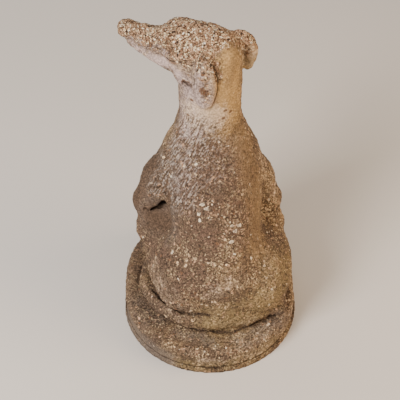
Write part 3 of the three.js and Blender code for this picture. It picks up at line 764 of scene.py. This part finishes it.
def stone_finish(colours, grains):
    """Weathered cast stone: cement, grains, pits, stains, bloom and moss."""
    stone = Finish(SLOT)
    place = stone.node("TexCoord", output="Object")
    wander = stone.noise(place, WANDER).other("Color")
    bent = stone.node(
        "VectorMath", {"operation": "MULTIPLY_ADD"}, {0: wander, 1: [WANDER] * 3, 2: place}
    )
    broad = stone.noise(place, BROAD)
    cloudy = stone.noise(stone.shifted(place, 0.3), CLOUDY)
    patchy = stone.noise(place, PATCHY)
    grit = stone.noise(place, grains.grit, 4.0)
    worn = 1 - stone.field("bare")
    crumbly = stone.field("crumbly") * worn * (patchy * 1.6 + cloudy * 1.6 - 0.6)

    def ragged(name, low=0.2, high=0.7):
        """A kind of patch with a ragged edge; for pale it is partly painted light."""
        return (stone.field(name) * (patchy * 3 - 0.5)).above(low, high)

    surface = stone.mix(broad.above(0.40, 0.58), colours.cement_dark, colours.cement)
    surface = stone.mix(cloudy.above(0.52, 0.64) * 0.4, surface, colours.russet)
    surface = stone.mix((1 - cloudy.above(0.38, 0.47)) * 0.5, surface, colours.cement_dark)
    surface = stone.mix(ragged("dusk", 0.05, 0.45) * 0.9, surface, colours.dusk)
    surface = stone.mix(stone.field("slate").above(0.1, 0.8) * 0.8, surface, colours.slate)
    surface = stone.mix(stone.field("mauve").above(0.1, 0.9), surface, colours.mauve)
    surface = stone.mix(stone.field("olive").above(0.1, 0.9), surface, colours.olive)
    # Pale bloom, and painted light on the far ear's shaded inner side and the right arm.
    surface = stone.mix(ragged("pale", 0.15, 0.9) * 0.8, surface, colours.pale)

    streaky = stone.field("streaky").above(0.05, 0.7)
    low = (1 - stone.field("relief").above(0.2, 0.6)) * worn * (1 - streaky * 0.6)
    surface = stone.mix(low * 0.7, surface, colours.cement_dark)

    shown = worn * (1 - stone.field("slate") * 0.5 - stone.field("dusk") * 0.5)
    crowding = (cloudy - 0.5) * 0.4 + (broad - 0.5) * 0.3
    specks = (stone.noise(bent, grains.speck, 2.0) + crowding).above(0.57, 0.64)
    surface = stone.mix(specks * (shown * 0.6 + 0.05), surface, colours.cream)
    pits = stone.noise(stone.shifted(bent, 0.7), grains.pit, 2.0).above(0.58, 0.66)
    surface = stone.mix(pits * shown * 0.8, surface, colours.pit)

    long = stone.node(
        "Mapping", {"vector_type": "TEXTURE"},
        {"Vector": place, "Rotation": (0, STROKE_TILT, 0), "Scale": (1, 1, STROKE_LENGTH)},
    )
    stroke = stone.noise(long, grains.streak, 1.0)
    strokes = stroke.above(0.53, 0.59) * streaky
    between = (1 - stroke.above(0.41, 0.48)) * streaky
    surface = stone.mix(between * 0.85, surface, colours.cement_dark)
    surface = stone.mix(strokes * 0.48, surface, colours.lime)

    gap, chance, kind = stone.crumbs(bent, grains.crumb)
    washed = (crumbly + chance * 0.35).above(0.42, 0.62)
    crumb = washed * gap.above(0.03, 0.10)
    surface = stone.mix(washed * 0.8, surface, colours.cement_dark)
    surface = stone.mix(crumb * 0.92, surface, stone.ramp(kind, AGGREGATE))
    chip_gap, chip_chance, chip_kind = stone.crumbs(stone.shifted(bent, 0.4), grains.chip)
    chip = chip_gap.above(0.05, 0.12) * chip_chance.above(0.91, 0.92) * worn
    surface = stone.mix(chip * 0.8, surface, stone.ramp(chip_kind, AGGREGATE))

    surface = stone.mix(ragged("moss", 0.1, 0.9) * 0.5, surface, colours.moss)
    flake = (stone.field("flake") + (grit - 0.5) * 1.2).above(0.35, 0.55)
    surface = stone.mix(flake * 0.85, surface, colours.flake)
    # Hollows are darkened as painted shade with dirt, less where olive skin and moss lie; the dark
    # patches add dirt and painted shade of their own.
    hollow_shade_kept = (1 - stone.field("olive")) * (1 - stone.field("moss") * 0.7)
    in_hollow = stone.field("hollow").above(0.25, 1.0) * hollow_shade_kept
    grime_and_shade = stone.field("dark") * 0.95 + in_hollow * 0.6
    surface = stone.mix(grime_and_shade.above(0.1, 1.0), surface, colours.cement_dark)
    # Stains, and the painted shadow under the jaw.
    stain = (stone.field("stain") * (grit * 3 - 0.5)).above(0.2, 0.7)
    surface = stone.mix(stain * 0.92, surface, colours.stain)
    # Creases darkened to the pits' colour: painted shade in them, with dirt.
    surface = stone.mix(stone.field("crease").above(0.55, 1.0) * 0.85, surface, colours.pit)
    sand = stone.node("ValToRGB", {}, {"Fac": grit.above(0.3, 0.7)})
    sanded = stone.node(
        "Mix", {"data_type": "RGBA", "blend_type": "OVERLAY"},
        {MIX_SHARE: worn * 0.35 + 0.3, MIX_FIRST: surface, MIX_SECOND: sand}, MIX_RESULT,
    )

    height = worn * (specks * 0.4 - pits * 0.9 + chip * 0.8) + crumb * 1.3
    height = height + strokes * 0.4 + grit * 0.5 + patchy * 0.3
    bump = stone.node("Bump", {}, {"Strength": 0.9, "Distance": 0.0015, "Height": height})
    shader = stone.node(
        "BsdfPrincipled", {},
        {
            "Base Color": sanded, "Roughness": 0.82 + grit * 0.15,
            "Normal": bump, "Specular IOR Level": 0.25,
        },
    )
    stone.node("OutputMaterial", {}, {"Surface": shader})
    return stone.material


# Operators.


class HOUND_OT_stone(bpy.types.Operator):
    """Skin, carve and weather the stone hound"""

    bl_idname = "hound.stone"
    bl_label = "Stone Hound"

    def execute(self, context):
        relief = context.scene.hound_relief
        piece = copied_solid()
        skin_afresh(piece, relief)
        in_crease = cut_creases(piece, relief)
        smooth_form = coordinates(piece.data)
        # Patch kinds: weathering, with painted light and painted shade among them.
        weathering_and_painted_light = {name: patch_strength(piece, patches) for name, patches in PATCHES.items()}
        weathering_and_painted_light["bare"] *= 1 - weathering_and_painted_light.pop("rough")
        worn_relief(piece, relief, weathering_and_painted_light["bare"], weathering_and_painted_light["crumbly"])
        for name, strength in weathering_and_painted_light.items():
            keep_field(piece.data, name, strength)
        keep_field(piece.data, "crease", in_crease)
        keep_shape_fields(piece, smooth_form, relief)
        bpy.ops.object.shade_smooth()
        scene = context.scene
        piece.data.materials.append(stone_finish(scene.hound_colours, scene.hound_grains))
        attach(piece, BODY)
        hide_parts(NODE)
        return {"FINISHED"}


class HOUND_OT_stage(bpy.types.Operator):
    """Set up the plain floor, the soft light and the camera"""

    bl_idname = "hound.stage"
    bl_label = "Studio Stage"

    def execute(self, context):
        stage = context.scene.hound_stage
        deselect_all()
        bpy.ops.mesh.primitive_plane_add(size=12.0, location=(0, 0, 0))
        floor = bpy.context.object
        floor.name = "studio_floor"
        paint = Finish("studio_floor")
        look = {"Base Color": (*stage.floor, 1), "Roughness": 0.9}
        shader = paint.node("BsdfPrincipled", {}, look)
        paint.node("OutputMaterial", {}, {"Surface": shader})
        floor.data.materials.append(paint.material)

        area_light("key", (1.3, 1.1, 1.5), 0.9, stage.key_power, (1.0, 0.96, 0.92))
        area_light("warm_fill", (-1.6, 0.3, 0.9), 1.2, stage.fill_power, (1.0, 0.77, 0.52))
        area_light("front_fill", (0.5, -1.8, 1.1), 1.4, stage.front_power, (1.0, 0.97, 0.95))
        world = bpy.data.worlds.new("studio")
        world.use_nodes = True
        world.node_tree.nodes["Background"].inputs["Color"].default_value = (1.0, 0.97, 0.94, 1)
        world.node_tree.nodes["Background"].inputs["Strength"].default_value = stage.sky
        context.scene.world = world

        a, e = stage.azimuth, stage.elevation
        back = Vector((math.sin(a) * math.cos(e), -math.cos(a) * math.cos(e), math.sin(e)))
        turn = back.to_track_quat("Z", "Y").to_euler()
        bpy.ops.object.camera_add(location=stage.camera, rotation=turn)
        camera = bpy.context.object
        camera.data.lens = stage.lens
        camera.data.sensor_width = 36.0
        context.scene.camera = camera
        return {"FINISHED"}


def area_light(name, place, size, power, rgb):
    """A soft square light that faces the statue's middle."""
    middle = (CAD_BOX[0] + CAD_BOX[1]) / 2
    turn = (Vector(place) - middle).to_track_quat("Z", "Y").to_euler()
    bpy.ops.object.light_add(type="AREA", location=place, rotation=turn)
    light = bpy.context.object
    light.name = name
    light.data.size = size
    light.data.energy = power
    light.data.color = rgb


class HOUND_PT_panel(bpy.types.Panel):
    """The statue's and the stage's settings in the sidebar"""

    bl_idname = "HOUND_PT_panel"
    bl_label = "Stone Hound"
    bl_space_type = "VIEW_3D"
    bl_region_type = "UI"
    bl_category = "Stone Hound"

    def draw(self, context):
        for operator, group in STEPS:
            box = self.layout.box()
            for settings in group:
                values = getattr(context.scene, settings)
                for name in values.__annotations__:
                    box.prop(values, name)
            box.operator(operator)


STEPS = [
    ("hound.stone", ["hound_relief", "hound_grains", "hound_colours"]),
    ("hound.stage", ["hound_stage"]),
]
SETTINGS = {
    "hound_relief": StoneRelief,
    "hound_grains": StoneGrains,
    "hound_colours": StoneColours,
    "hound_stage": StudioStage,
}
CLASSES = [*SETTINGS.values(), HOUND_OT_stone, HOUND_OT_stage, HOUND_PT_panel]


def register():
    for made in CLASSES:
        bpy.utils.register_class(made)
    for name, group in SETTINGS.items():
        setattr(bpy.types.Scene, name, PointerProperty(type=group))


def unregister():
    for name in SETTINGS:
        delattr(bpy.types.Scene, name)
    for made in reversed(CLASSES):
        bpy.utils.unregister_class(made)


def main():
    register()
    bpy.ops.hound.stone()
    bpy.ops.hound.stage()


if __name__ == "__main__":
    main()
